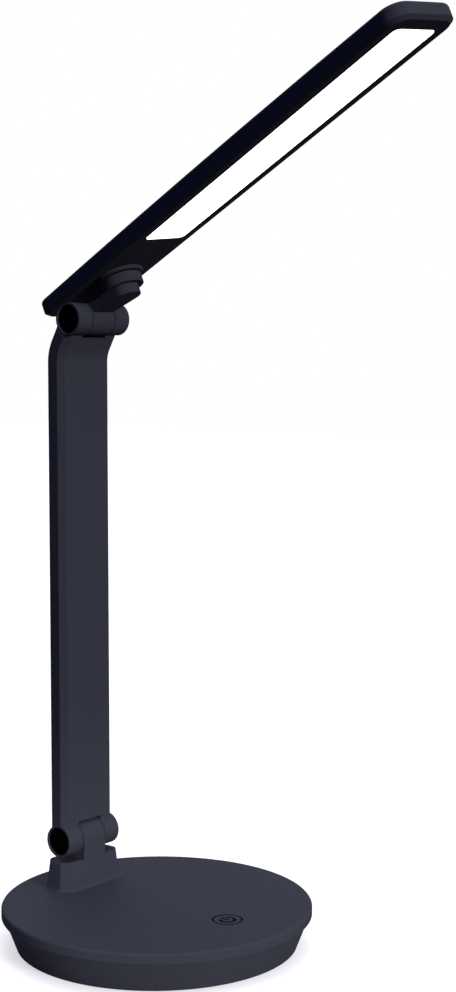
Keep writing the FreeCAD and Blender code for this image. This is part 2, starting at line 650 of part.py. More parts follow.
def board_components():
    """Chip and coils on the control board, and the two lead plugs under it."""
    chip_y = f"({BOARD_Y} + chip_offset)"
    chip = box("control_chip", ("-chip_width / 2", f"{chip_y} - chip_depth / 2", BOARD_TOP),
               ("chip_width / 2", f"{chip_y} + chip_depth / 2", f"{BOARD_TOP} + chip_height"))
    coils = [
        cylinder(f"driver_coil_{index}", "coil_radius", "coil_height",
                 upright(f"{side} * coil_offset", BOARD_Y, BOARD_TOP))
        for index, side in enumerate((-1, 1))
    ]
    plugs = [
        box(f"lead_plug_{index}",
            (f"{x} - plug_width / 2", PLUG_Y, f"{BOARD_BOTTOM} - plug_height"),
            (f"{x} + plug_width / 2", f"{PLUG_Y} + plug_depth", BOARD_BOTTOM))
        for index, x in enumerate(("-plug_width / 2 - supply_offset", "0"))
    ]
    group("board_components", [chip, *coils, *plugs])


def touch_sensor_pad():
    """Conductive foam between the control board and the cover, under the touch mark."""
    foam = cylinder("touch_sensor_pad", "touch_pad_radius", "post_height",
                    upright("0", TOUCH_Y, BOARD_TOP))
    keep(foam, "touch_sensor_pad")


def dc_inlet():
    """Power socket at the back of the tub, with its contact pin."""
    body = new_body("dc_inlet")
    block = new_sketch(body, "inlet_block_end", "XZ_Plane", f"-{INLET_INNER}")
    rectangle(block, "-inlet_width / 2", "inlet_width / 2", FLOOR_TOP, f"{FLOOR_TOP} + inlet_height")
    shape_from(body, "Pad", "inlet_block", block, backwards=True, Length="inlet_depth")
    nozzle = new_sketch(body, "nozzle_root", "XZ_Plane", f"-{INLET_OUTER}")
    circle(nozzle, "nozzle_radius", "0", INLET_AXIS)
    shape_from(body, "Pad", "nozzle", nozzle, backwards=True, Length="nozzle_length")
    mouth = f"-({INLET_OUTER} + nozzle_length)"
    socket = new_sketch(body, "socket_mouth", "XZ_Plane", mouth)
    circle(socket, "socket_radius", "0", INLET_AXIS)
    shape_from(body, "Pocket", "socket", socket, backwards=True, Length="socket_depth")
    hold = new_sketch(body, "contact_hold_mouth", "XZ_Plane", f"-{SOCKET_FLOOR}")
    circle(hold, "contact_radius + fit_clearance", "0", INLET_AXIS)
    shape_from(body, "Pocket", "contact_seat", hold, backwards=True, Length="contact_hold")

    foot = f"placement(vector(0; {SOCKET_FLOOR} - contact_hold; {INLET_AXIS}); {ALONG_Y})"
    contact = cylinder("inlet_contact", "contact_radius",
                       "contact_hold + socket_depth - contact_setback", foot)
    keep(contact, "inlet_contact")


def leads_in_base():
    """Flat leads on the ballast: socket to board, and board to the lower hinge."""
    top = f"{BALLAST_TOP} + lead_thickness"
    left = "-plug_width / 2 - supply_offset"
    supply = box("supply_lead", (f"{left} - lead_width / 2", PLUG_Y, BALLAST_TOP),
                 (f"{left} + lead_width / 2", INLET_INNER, top))
    keep(supply, "supply_lead")
    back = f"{LOWER_Y} + lead_thickness / 2"
    run = box("output_run", ("-lead_width / 2", PLUG_Y, BALLAST_TOP), ("lead_width / 2", back, top))
    rise = box("output_rise", ("-lead_width / 2", f"{back} - lead_thickness", BALLAST_TOP),
               ("lead_width / 2", back, f"{LOWER_Z} - channel_stop - fit_clearance"))
    keep(join("output_lead", run, rise), "output_lead")


def arm_shell():
    """Front shell of the arm, with the outer knuckles of both hinges, in the arm's frame."""
    body = new_body("arm_shell", ARM_FRAME)
    side = new_sketch(body, "arm_side", "YZ_Plane")
    mitre = f"{ARM_HALF} * tan({BEND_ANGLE} / 2)"
    step_y = f"{ARM_HALF} * cos({BEND_ANGLE})"
    step_z = f"{ARM_HALF} * sin({BEND_ANGLE})"
    outline(side, (
        (f"-{ARM_HALF}", "0"), (f"-{ARM_HALF}", f"{ARM_BEND} - {mitre}"),
        (f"-upper_offset - {step_y}", f"hinge_spacing - {step_z}"),
        (f"-upper_offset + {step_y}", f"hinge_spacing + {step_z}"),
        (ARM_HALF, f"{ARM_BEND} + {mitre}"), (ARM_HALF, "0"),
    ))
    shape_from(body, "Pad", "bar", side, symmetric=True, Length="arm_width")

    bend = measure(ARM_BEND)
    slope = measure("upper_offset / arm_bend_drop")
    half = measure(ARM_HALF)
    flank = measure("arm_width / 2")

    def at_bend(edge, sign):
        point = middle(edge)
        at_face = abs(point.y - sign * half) < NEAR
        return runs_along(edge, "X") and at_face and abs(point.z - bend) < half
    dress(body, "Fillet", "bend_front", lambda edge: at_bend(edge, -1), Radius="arm_bend_radius")
    dress(body, "Fillet", "bend_back", lambda edge: at_bend(edge, 1),
          Radius="arm_bend_radius + arm_thickness")

    def on_front_edge(edge):
        point = middle(edge)
        lean = max(0, point.z - bend) * slope
        on_side = abs(abs(point.x) - flank) < NEAR and edge.BoundBox.XLength < NEAR
        return on_side and point.y < -lean - half / 2
    dress(body, "Chamfer", "front_edges", on_front_edge, Size="arm_chamfer")

    rounds = new_sketch(body, "knuckle_rounds", "YZ_Plane")
    circles_at(rounds, "barrel_radius", ARM_AXES)
    shape_from(body, "Pad", "knuckles", rounds, symmetric=True, Length="arm_width")
    notches = new_sketch(body, "notch_rounds", "YZ_Plane")
    circles_at(notches, "barrel_radius + notch_back_gap", ARM_AXES)
    shape_from(body, "Pocket", "notches", notches, symmetric=True, Length=f"2 * {KNUCKLE_SIDE}")
    slits = new_sketch(body, "slit_rounds", "YZ_Plane")
    circles_at(slits, SLIT_RADIUS, SLIT_MIDDLES)
    shape_from(body, "Pocket", "slits", slits, symmetric=True, Length=f"2 * {KNUCKLE_SIDE}")
    bores = new_sketch(body, "bore_rounds", "YZ_Plane")
    circles_at(bores, "pin_radius + running_clearance", ARM_AXES)
    shape_from(body, "Pocket", "bores", bores, symmetric=True, Length="arm_width + overrun")
    for sign, end in ((1, "right"), (-1, "left")):
        recess = new_sketch(body, f"{end}_recess_mouths", "YZ_Plane", f"{sign} * arm_width / 2")
        circles_at(recess, "cap_radius + cap_clearance", ARM_AXES)
        shape_from(body, "Pocket", f"{end}_recesses", recess, backwards=sign < 0,
                   Length="counterbore_depth")

    rebate = new_sketch(body, "rear_rebate_mouth", "XZ_Plane", f"-{ARM_HALF}")
    rectangle(rebate, f"-{REAR_SIDE}", REAR_SIDE, REAR_LOW, REAR_HIGH)
    shape_from(body, "Pocket", "rear_rebate", rebate, backwards=True, Length="rear_cover_thickness")
    hollow = new_sketch(body, "hollow_mouth", "XZ_Plane", f"-{ARM_HALF}")
    inside = "(arm_width / 2 - arm_side_wall)"
    rectangle(hollow, f"-{inside}", inside, f"{REAR_LOW} + ledge_width", f"{REAR_HIGH} - ledge_width")
    shape_from(body, "Pocket", "hollow", hollow, backwards=True, Length="arm_thickness - arm_front_wall")


def arm_rear_cover():
    """Flush cover in the back of the arm."""
    side = f"({REAR_SIDE} - rear_cover_clearance)"
    plate = box("arm_rear_cover",
                (f"-{side}", f"{ARM_HALF} - rear_cover_thickness", f"{REAR_LOW} + rear_cover_clearance"),
                (side, ARM_HALF, f"{REAR_HIGH} - rear_cover_clearance"), ARM_FRAME)
    keep(plate, "arm_rear_cover")


def arm_lead():
    """Flat lead on the inside of the arm's front."""
    inside = f"(arm_front_wall - {ARM_HALF})"
    lead = box("arm_lead", ("-lead_width / 2", inside, f"{REAR_LOW} + ledge_width"),
               ("lead_width / 2", f"{inside} + lead_thickness", f"{REAR_HIGH} - ledge_width"), ARM_FRAME)
    keep(lead, "arm_lead")


def hinge_hardware(hinge, y, z):
    """Bolt, nut, friction washers and end caps of one hinge."""
    bolt = new_body(f"{hinge}_hinge_bolt")
    shank = new_sketch(bolt, f"{hinge}_shank_end", "YZ_Plane", f"-{BOLT_SEAT}")
    circle(shank, "pin_radius", y, z)
    shape_from(bolt, "Pad", f"{hinge}_shank", shank, Length=f"2 * {BOLT_SEAT} + nut_height")
    head = new_sketch(bolt, f"{hinge}_bolt_head_end", "YZ_Plane", f"-{BOLT_SEAT}")
    circle(head, "bolt_head_radius", y, z)
    shape_from(bolt, "Pad", f"{hinge}_bolt_head", head, backwards=True, Length="bolt_head_height")

    nut = new_body(f"{hinge}_hinge_nut")
    hexagon = new_sketch(nut, f"{hinge}_nut_end", "YZ_Plane", BOLT_SEAT)
    turns = [60 * corner for corner in range(6)]
    outline(hexagon, [(f"{y} + nut_radius * cos({turn})", f"{z} + nut_radius * sin({turn})")
                      for turn in turns])
    circle(hexagon, "pin_radius + fit_clearance", y, z)
    shape_from(nut, "Pad", f"{hinge}_nut", hexagon, Length="nut_height")

    washers = []
    caps = []
    for sign, end in ((1, "right"), (-1, "left")):
        label = f"{hinge}_{end}"
        low = f"{KNUCKLE_SIDE} - washer_thickness" if sign > 0 else f"-{KNUCKLE_SIDE}"
        disc = cylinder(f"{label}_washer_disc", "washer_radius", "washer_thickness", across(low, y, z))
        hole = cylinder(f"{label}_washer_hole", "pin_radius + fit_clearance", "washer_thickness",
                        across(low, y, z))
        washers.append(cut(f"{label}_washer", disc, hole))
        outer = "(arm_width / 2 - cap_inset)"
        low = f"{outer} - cap_thickness" if sign > 0 else f"-{outer}"
        dish = f"{outer} - cap_dish" if sign > 0 else f"-{outer}"
        plate = cylinder(f"{label}_cap_plate", "cap_radius", "cap_thickness", across(low, y, z))
        hollow = cylinder(f"{label}_cap_dish", "cap_radius - cap_rim", "cap_dish", across(dish, y, z))
        caps.append(cut(f"{label}_cap", plate, hollow))
    group(f"{hinge}_hinge_washers", washers)
    group(f"{hinge}_hinge_caps", caps)


def swivel_bracket():
    """Middle knuckle of the upper hinge, tongue and swivel disc, in the bracket's frame."""
    body = new_body("swivel_bracket", BRACKET_FRAME)
    tongue = new_sketch(body, "tongue_plan", "XY_Plane", "tongue_bottom")
    rectangle(tongue, "-tongue_radius", "tongue_radius", "-swivel_reach", "0")
    shape_from(body, "Pad", "tongue", tongue, Length="tongue_thickness")
    nose = new_sketch(body, "tongue_nose_round", "XY_Plane", "tongue_bottom")
    circle(nose, "tongue_radius", "0", "-swivel_reach")
    shape_from(body, "Pad", "tongue_nose", nose, Length="tongue_thickness")
    underside = measure("tongue_bottom")

    def under_tongue(edge):
        return lies_at(edge, "Z", underside) and edge.BoundBox.YMin < -NEAR
    dress(body, "Fillet", "tongue_rounding", under_tongue, Radius="tongue_fillet")
    disc = new_sketch(body, "disc_round", "XY_Plane", DISC_BOTTOM)
    circle(disc, "disc_radius", "0", "-swivel_reach")
    shape_from(body, "Pad", "disc", disc, Length="disc_thickness")

    rim = measure("-swivel_reach - disc_radius")
    levels = (measure(DISC_BOTTOM), measure(DISC_TOP))

    def on_disc(edge):
        at_rim = abs(edge.BoundBox.YMin - rim) < NEAR
        return at_rim and any(lies_at(edge, "Z", level) for level in levels)
    dress(body, "Fillet", "disc_rounding", on_disc, Radius="disc_fillet")

    barrel = new_sketch(body, "bracket_knuckle_round", "YZ_Plane")
    circle(barrel, "barrel_radius")
    shape_from(body, "Pad", "bracket_knuckle", barrel, symmetric=True, Length="knuckle_width")
    bore = new_sketch(body, "bracket_bore_round", "YZ_Plane")
    circle(bore, "pin_radius + running_clearance")
    shape_from(body, "Pocket", "bracket_bore", bore, symmetric=True, Length="knuckle_width + overrun")
    tap = new_sketch(body, "swivel_tap_mouth", "XY_Plane", DISC_TOP)
    circle(tap, "swivel_pin_radius + fit_clearance", "0", "-swivel_reach")
    shape_from(body, "Pocket", "swivel_tap", tap, Length="swivel_pin_depth + fit_clearance")


def swivel_hardware():
    """Swivel bolt and the washers on either side of the head's floor, in the bracket's frame."""
    floor = f"({HEAD_RISE} + bezel_height + swivel_play)"
    seat = f"({floor} + spring_washer_thickness)"
    bolt = new_body("swivel_bolt", BRACKET_FRAME)
    shank = new_sketch(bolt, "swivel_shank_end", "XY_Plane", f"{DISC_TOP} - swivel_pin_depth")
    circle(shank, "swivel_pin_radius", "0", "-swivel_reach")
    shape_from(bolt, "Pad", "swivel_shank", shank, Length=f"{seat} - {DISC_TOP} + swivel_pin_depth")
    head = new_sketch(bolt, "swivel_head_end", "XY_Plane", seat)
    circle(head, "swivel_head_radius", "0", "-swivel_reach")
    shape_from(bolt, "Pad", "swivel_head", head, Length="swivel_head_height")

    rings = (("swivel_slip_washer", "slip_washer_radius", "slip_washer_thickness", DISC_TOP),
             ("swivel_spring_washer", "spring_washer_radius", "spring_washer_thickness", floor))
    for name, radius, thickness, level in rings:
        washer = new_body(name, BRACKET_FRAME)
        ring = new_sketch(washer, f"{name}_plan", "XY_Plane", level)
        circle(ring, radius, "0", "-swivel_reach")
        circle(ring, "swivel_pin_radius + fit_clearance", "0", "-swivel_reach")
        shape_from(washer, "Pad", f"{name}_ring", ring, Length=thickness)


def is_corner(edge):
    """Tell whether an edge is one of the upright corners of a bar."""
    return runs_along(edge, "Z")


def window_outline(sketch, grow, radius):
    """Draw the lit panel's rectangle, larger by a given sum on every side."""
    side = f"({WINDOW_HALF} + {grow})"
    rounded_rectangle(sketch, f"-{side}", side, f"-({WINDOW_FAR} + {grow})",
                      f"-(window_near - {grow})", radius)


def inset_outline(sketch, inset):
    """Draw the head's plan, smaller by a given sum on every side."""
    side = f"(head_width / 2 - {inset})"
    rounded_rectangle(sketch, f"-{side}", side, f"-(head_outer - {inset})", f"(head_inner - {inset})",
                      f"(head_corner - {inset})")


def head_bezel():
    """Lower housing of the head: bevelled plate with lip, panel window and swivel collar."""
    body = new_body("head_bezel", HEAD_FRAME)
    plan = new_sketch(body, "bezel_plan", "XY_Plane")
    inset_outline(plan, "0")
    shape_from(body, "Pad", "bezel_plate", plan, Length="bezel_height")
    dress(body, "Chamfer", "bezel_bevel", lambda edge: lies_at(edge, "Z", 0),
          Size="bevel_height", Size2="bevel_width")
    body.Tip.ChamferType = "Two distances"
    document.recompute()

    lip_inset = "(head_wall + bezel_lip_clearance)"
    lip = new_sketch(body, "lip_plan", "XY_Plane", "bezel_height")
    inset_outline(lip, lip_inset)
    inset_outline(lip, f"({lip_inset} + bezel_lip_wall)")
    shape_from(body, "Pad", "lip", lip, Length="bezel_lip_height")

    collar = new_sketch(body, "collar_round", "XY_Plane")
    circle(collar, "collar_radius")
    shape_from(body, "Pad", "collar", collar, backwards=True, Length="collar_height")
    collar_level = measure("-collar_height")
    dress(body, "Chamfer", "collar_edge", lambda edge: lies_at(edge, "Z", collar_level),
          Size="collar_chamfer")
    bore = new_sketch(body, "swivel_bore_mouth", "XY_Plane", "bezel_height")
    circle(bore, "swivel_pin_radius + running_clearance")
    shape_from(body, "Pocket", "swivel_bore", bore, Length="bezel_height + collar_height + overrun")
    window = new_sketch(body, "window_plan", "XY_Plane", "bezel_height")
    window_outline(window, "0", "window_corner")
    shape_from(body, "Pocket", "window", window, Length="bezel_height + overrun")


def head_cover():
    """Upper housing of the head, with a slightly arched roof."""
    body = new_body("head_cover", HEAD_FRAME)
    side = new_sketch(body, "cover_side", "YZ_Plane")
    corners = (("-head_outer", "bezel_height"), ("head_inner", "bezel_height"),
               ("head_inner", "head_edge_height"), ("-head_outer", "head_edge_height"))
    outline(side, corners)
    span = "(head_outer + head_inner)"
    bow(side, 2, f"({span} ^ 2 / 4 + head_crown ^ 2) / (2 * head_crown)", "head_crown")
    shape_from(body, "Pad", "cover_bar", side, symmetric=True, Length="head_width")
    dress(body, "Fillet", "cover_corners", is_corner, Radius="head_corner")
    eaves = measure("head_edge_height") - NEAR
    dress(body, "Fillet", "roof_edges", lambda edge: edge.BoundBox.ZMin > eaves, Radius="head_top_fillet")
    hollow = new_sketch(body, "cover_hollow_mouth", "XY_Plane", "bezel_height")
    inset_outline(hollow, "head_wall")
    shape_from(body, "Pocket", "cover_hollow", hollow, backwards=True,
               Length=f"{HEAD_ROOF} - bezel_height")


def diffuser():
    """Opal panel: fills the window and has a flange inside the housing."""
    body = new_body("diffuser", HEAD_FRAME)
    plan = new_sketch(body, "panel_plan", "XY_Plane")
    window_outline(plan, "-window_clearance", "(window_corner - window_clearance)")
    shape_from(body, "Pad", "panel", plan, Length="bezel_height")
    flange = new_sketch(body, "flange_plan", "XY_Plane", "bezel_height")
    window_outline(flange, "flange_width", "(window_corner + flange_width)")
    shape_from(body, "Pad", "flange", flange, Length="flange_thickness")


def head_inside():
    """LED board, LEDs, connector and lead inside the head."""
    half = "(head_width / 2 - led_board_side)"
    board = box("led_board", (f"-{half}", f"-{LED_BOARD_FAR}", LED_BOARD_BOTTOM),
                (half, f"-{LED_BOARD_NEAR}", HEAD_ROOF), HEAD_FRAME)
    keep(board, "led_board")

    start = "(window_near + led_margin)"
    pitch = f"(({WINDOW_FAR} - window_near - 2 * led_margin) / {LEDS_PER_ROW - 1})"
    chips = []
    for row in (-1, 1):
        x = f"{row} * led_row_spacing / 2"
        for index in range(LEDS_PER_ROW):
            y = f"-({start} + {index} * {pitch})"
            low = (f"{x} - led_width / 2", f"{y} - led_length / 2", f"{LED_BOARD_BOTTOM} - led_height")
            high = (f"{x} + led_width / 2", f"{y} + led_length / 2", LED_BOARD_BOTTOM)
            chips.append(box(f"led_{len(chips)}", low, high))
    group("led_chips", chips, HEAD_FRAME)

    plug = box("led_connector",
               ("-connector_width / 2", f"-({LED_BOARD_NEAR} + connector_length)", "bezel_height"),
               ("connector_width / 2", f"-{LED_BOARD_NEAR}", LED_BOARD_BOTTOM), HEAD_FRAME)
    keep(plug, "led_connector")
    lead = box("head_lead", ("-lead_width / 2", f"-{LED_BOARD_NEAR}", "bezel_height"),
               ("lead_width / 2", "-head_lead_start", "bezel_height + lead_thickness"), HEAD_FRAME)
    keep(lead, "head_lead")


base_cover()
base_tub()
anti_slip_pad()
ballast_plate()
base_screws()
control_board()
board_screws()
board_components()
touch_sensor_pad()
dc_inlet()
leads_in_base()
arm_shell()
arm_rear_cover()
arm_lead()
for hinge_name, hinge_axis in zip(HINGES, AXES):
    hinge_hardware(hinge_name, *hinge_axis)
swivel_bracket()
swivel_hardware()
head_bezel()
head_cover()
diffuser()
head_inside()
document.recompute()

# Nothing is written unless every object is sound
for item in document.Objects:
    if "Invalid" in item.State or "Error" in item.State:
        raise ValueError(f"{item.Label} is {item.State}")
for piece in pieces:
    if piece.Shape.isNull() or not piece.Shape.isValid():
        raise ValueError(f"{piece.Label} has no valid shape")
os.makedirs("parts", exist_ok=True)
for piece in pieces:
    piece.Shape.exportStep(f"parts/{piece.Label}.step")
    print(piece.Label, len(piece.Shape.Solids), round(piece.Shape.Volume, 1))
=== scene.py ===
"""Looks of an LED table lamp: the finishes of its pieces, its printed touch mark and its stage."""

import math

import bpy
from bpy.props import FloatProperty, FloatVectorProperty, PointerProperty
from mathutils import Matrix, Vector


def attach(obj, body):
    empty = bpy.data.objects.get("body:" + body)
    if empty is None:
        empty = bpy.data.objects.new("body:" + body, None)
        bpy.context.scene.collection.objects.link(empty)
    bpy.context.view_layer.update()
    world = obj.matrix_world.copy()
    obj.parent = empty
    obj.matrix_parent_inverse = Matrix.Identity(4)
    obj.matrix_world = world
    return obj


bl_info = {
    "name": "LED table lamp",
    "version": (1, 0, 0),
    "blender": (4, 5, 0),
    "location": "3D View > Sidebar > Lamp",
    "description": "Finishes the lamp's pieces, prints its touch mark and sets its stage",
    "category": "Object",
}

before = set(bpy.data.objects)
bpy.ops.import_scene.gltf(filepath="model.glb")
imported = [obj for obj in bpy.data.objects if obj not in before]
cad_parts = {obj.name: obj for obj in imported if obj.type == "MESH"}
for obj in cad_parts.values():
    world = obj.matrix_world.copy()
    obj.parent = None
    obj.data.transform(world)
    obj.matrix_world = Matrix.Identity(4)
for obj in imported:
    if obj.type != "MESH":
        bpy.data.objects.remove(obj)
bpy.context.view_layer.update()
MM = 0.001

# The ink of the touch mark reaches this far into the cover and above it
INK_SINK = 0.02 * MM
INK_RISE = 0.04 * MM
RING_CORNERS = 120
# The bar's corners are rounded by just under half its width, so that they stay apart
BAR_ROUNDING = 0.49
BAR_SEGMENTS = 6

# Widths of the patterns in the materials
CLOUD = 45 * MM
HAZE = 12 * MM
FOAM_CELL = 0.6 * MM
SPANGLE = 2 * MM
GRIT = 1.5 * MM
# The noise pattern keeps mostly between these values
NOISE_LOW, NOISE_HIGH = 0.3, 0.7
# A wave texture of scale 1 turns through this many radians in a unit of length
WAVE_TURN = 20
# The grain makes the plastic's roughness vary this much either way
SHEEN_SPREAD = 0.06

# Where the soft lights come from, and their spread in degrees
KEY_FROM, KEY_SPREAD = (-0.15, -0.94, 0.3), 12
OVERHEAD_FROM, OVERHEAD_SPREAD = (0.05, -0.1, 1.0), 50
FILL_FROM, FILL_SPREAD = (0.6, 0.74, 0.3), 50
# Low lamps: place, the point they are aimed at and their sides, in mm, and their beam in degrees
FRONT_LOW = {"place": (-45, -175, 10), "target": (0, -76, 9), "sides": (300, 20), "beam": 70}
SIDE_LOW = {"place": (-260, -150, 40), "target": (-21, 52, 28), "sides": (60, 40), "beam": 30}

FLOOR_SIDE = 8
FLOOR_DROP = 0.2 * MM
FLOOR_GLOW = 0.6
SENSOR_HEIGHT = 36
NEAREST_SEEN = 10 * MM

SHELL_NODES = ("base_cover", "base_tub", "arm_shell", "arm_rear_cover", "swivel_bracket",
               "head_bezel", "head_cover")
CAP_NODES = ("lower_hinge_caps", "upper_hinge_caps")
FOAM_NODES = ("anti_slip_pad", "touch_sensor_pad")
STEEL_NODES = ("ballast_plate", "base_screws", "board_screws", "inlet_contact", "lower_hinge_bolt",
               "lower_hinge_nut", "upper_hinge_bolt", "upper_hinge_nut", "swivel_bolt",
               "swivel_spring_washer")
SLIP_NODES = ("lower_hinge_washers", "upper_hinge_washers", "swivel_slip_washer")
CONNECTOR_NODES = ("dc_inlet", "board_components", "led_connector")
LEAD_NODES = ("supply_lead", "output_lead", "arm_lead", "head_lead")


def linear(code):
    """Turn an sRGB hex colour into the linear colour that shaders take."""
    channels = [int(code[start:start + 2], 16) / 255 for start in (0, 2, 4)]
    curve = [c / 12.92 if c <= 0.04045 else ((c + 0.055) / 1.055) ** 2.4 for c in channels]
    return (*curve, 1.0)


def add_node(tree, kind, options=None, values=None, links=None):
    """Add a node, set its options and sockets, and link outputs to it."""
    made = tree.nodes.new(kind)
    for name, option in (options or {}).items():
        setattr(made, name, option)
    for name, value in (values or {}).items():
        made.inputs[name].default_value = value
    for name, output in (links or {}).items():
        tree.links.new(output, made.inputs[name])
    return made


def new_material(name):
    """Start an empty node material and give it with its Object coordinates."""
    material = bpy.data.materials.new(name)
    material.use_nodes = True
    tree = material.node_tree
    tree.nodes.clear()
    place = add_node(tree, "ShaderNodeTexCoord").outputs["Object"]
    return material, tree, place


def close_material(tree, shader):
    """Link a shader to the material's output."""
    add_node(tree, "ShaderNodeOutputMaterial", links={"Surface": shader.outputs[0]})


def two_tones(tree, factor, first, second, low=0.0, high=1.0):
    """Blend from one colour to another between two values of a factor."""
    ramp = add_node(tree, "ShaderNodeValToRGB", links={"Fac": factor})
    for element, position, colour in zip(ramp.color_ramp.elements, (low, high), (first, second)):
        element.position = position
        element.color = colour
    return ramp.outputs["Color"]


def moulded_plastic(name, colour, shade, roughness, grain, relief, specular):
    """Matte plastic from a textured mould: cloudy tone, fine grain and a soft even sheen."""
    material, tree, place = new_material(name)
    cloud = add_node(tree, "ShaderNodeTexNoise", values={"Scale": 1 / CLOUD, "Detail": 3.0},
                     links={"Vector": place})
    pores = add_node(tree, "ShaderNodeTexNoise", values={"Scale": 1 / grain, "Detail": 2.0},
                     links={"Vector": place})
    tone = two_tones(tree, cloud.outputs["Fac"], shade, colour, NOISE_LOW, NOISE_HIGH)
    sheen = add_node(tree, "ShaderNodeMapRange", links={"Value": pores.outputs["Fac"]},
                     values={"From Min": NOISE_LOW, "From Max": NOISE_HIGH,
                             "To Min": roughness - SHEEN_SPREAD,
                             "To Max": roughness + SHEEN_SPREAD})
    bump = add_node(tree, "ShaderNodeBump", values={"Strength": 0.5, "Distance": relief},
                    links={"Height": pores.outputs["Fac"]})
    shader = add_node(tree, "ShaderNodeBsdfPrincipled",
                      values={"IOR": 1.5, "Specular IOR Level": specular},
                      links={"Base Color": tone, "Roughness": sheen.outputs["Result"],
                             "Normal": bump.outputs["Normal"]})
    close_material(tree, shader)
    return material


def opal_acrylic(name, colour, strength):
    """Opal acrylic lit from behind: a smooth white sheet that glows evenly."""
    material, tree, place = new_material(name)
    haze = add_node(tree, "ShaderNodeTexNoise", values={"Scale": 1 / HAZE, "Detail": 1.0},
                    links={"Vector": place})
    sheen = add_node(tree, "ShaderNodeMapRange", links={"Value": haze.outputs["Fac"]},
                     values={"To Min": 0.32, "To Max": 0.4})
    shader = add_node(tree, "ShaderNodeBsdfPrincipled",
                      values={"Base Color": colour, "IOR": 1.49, "Emission Color": colour,
                              "Emission Strength": strength},
                      links={"Roughness": sheen.outputs["Result"]})
    close_material(tree, shader)
    return material


def closed_cell_foam(name, colour, shade):
    """EVA foam: a dull black skin with cells a little over half a millimetre wide."""
    material, tree, place = new_material(name)
    cells = add_node(tree, "ShaderNodeTexVoronoi", values={"Scale": 1 / FOAM_CELL},
                     links={"Vector": place})
    tone = two_tones(tree, cells.outputs["Distance"], shade, colour, low=0.1, high=0.7)
    bump = add_node(tree, "ShaderNodeBump", values={"Strength": 0.6, "Distance": 0.1 * MM},
                    links={"Height": cells.outputs["Distance"]})
    shader = add_node(tree, "ShaderNodeBsdfPrincipled",
                      values={"Roughness": 0.9, "IOR": 1.45, "Specular IOR Level": 0.2},
                      links={"Base Color": tone, "Normal": bump.outputs["Normal"]})
    close_material(tree, shader)
    return material


def plated_steel(name, colour, shade):
    """Zinc-plated steel: pale metal with a faint spangle about two millimetres wide."""
    material, tree, place = new_material(name)
    spangle = add_node(tree, "ShaderNodeTexVoronoi", values={"Scale": 1 / SPANGLE},
                       links={"Vector": place})
    tone = two_tones(tree, spangle.outputs["Distance"], shade, colour)
    sheen = add_node(tree, "ShaderNodeMapRange", links={"Value": spangle.outputs["Distance"]},
                     values={"To Min": 0.3, "To Max": 0.42})
    shader = add_node(tree, "ShaderNodeBsdfPrincipled", values={"Metallic": 1.0},
                      links={"Base Color": tone, "Roughness": sheen.outputs["Result"]})
    close_material(tree, shader)
    return material


def board_laminate(name, colour, shade, weave):
    """Solder mask over glass laminate or metal: glossy lacquer with the weave just showing."""
    material, tree, place = new_material(name)
    # The bands come out about six times as wide as the real weave, so that they show
    threads = add_node(tree, "ShaderNodeTexWave", options={"wave_type": "BANDS"},
                       values={"Scale": 1 / (WAVE_TURN * weave), "Distortion": 1.0},
                       links={"Vector": place})
    tone = two_tones(tree, threads.outputs["Fac"], shade, colour)
    bump = add_node(tree, "ShaderNodeBump", values={"Strength": 0.2, "Distance": 0.02 * MM},
                    links={"Height": threads.outputs["Fac"]})
    shader = add_node(tree, "ShaderNodeBsdfPrincipled", values={"Roughness": 0.35, "IOR": 1.55},
                      links={"Base Color": tone, "Normal": bump.outputs["Normal"]})
    close_material(tree, shader)
    return material


def dress(nodes, material):
    """Give CAD pieces a material through their slots."""
    for name in nodes:
        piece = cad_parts[name]
        for slot in piece.material_slots:
            slot.material = material
        if not piece.material_slots:
            piece.data.materials.append(material)


def deselect():
    """Leave edit mode and deselect everything."""
    if bpy.context.object and bpy.context.object.mode != "OBJECT":
        bpy.ops.object.mode_set(mode="OBJECT")
    bpy.ops.object.select_all(action="DESELECT")


def select_faces(piece, test):
    """In edit mode, select just the faces whose centre passes a test."""
    bpy.ops.mesh.select_mode(type="FACE")
    bpy.ops.mesh.select_all(action="DESELECT")
    bpy.ops.object.mode_set(mode="OBJECT")
    for face in piece.data.polygons:
        face.select = test(face.center)
    bpy.ops.object.mode_set(mode="EDIT")


class LampShellSettings(bpy.types.PropertyGroup):
    """Colours and grain of the lamp's plastic shells."""

    colour: FloatVectorProperty(name="Colour", description="Colour of the moulded shells",
                                subtype="COLOR", size=4, default=linear("3A3B43"))
    shade: FloatVectorProperty(name="Shade", description="Darker tone that clouds the shells",
                               subtype="COLOR", size=4, default=linear("383941"))
    cap_colour: FloatVectorProperty(name="Caps", description="Colour of the hinges' end caps",
                                    subtype="COLOR", size=4, default=linear("050406"))
    cap_shade: FloatVectorProperty(name="Cap shade", description="Darker tone of the end caps",
                                   subtype="COLOR", size=4, default=linear("030304"))
    roughness: FloatProperty(name="Roughness", description="Roughness of the shells",
                             default=0.55, subtype="FACTOR")
    specular: FloatProperty(name="Sheen", description="Strength of the shells' reflections",
                            default=0.0005, subtype="FACTOR")
    # Real spark-eroded grain is about 0.1 mm wide, and is drawn coarser so that it shows
    grain: FloatProperty(name="Grain", description="Width of the mould texture's grain",
                         default=0.5 * MM, unit="LENGTH", precision=5)
    relief: FloatProperty(name="Relief", description="Height of the mould texture's grain",
                          default=0.02 * MM, unit="LENGTH", precision=6)


class LampPanelSettings(bpy.types.PropertyGroup):
    """Colour and glow of the lit panel."""

    colour: FloatVectorProperty(name="Colour", description="Colour of the lit panel",
                                subtype="COLOR", size=4, default=linear("FFFEFF"))
    strength: FloatProperty(name="Glow", description="Strength of the panel's light", default=2.5)


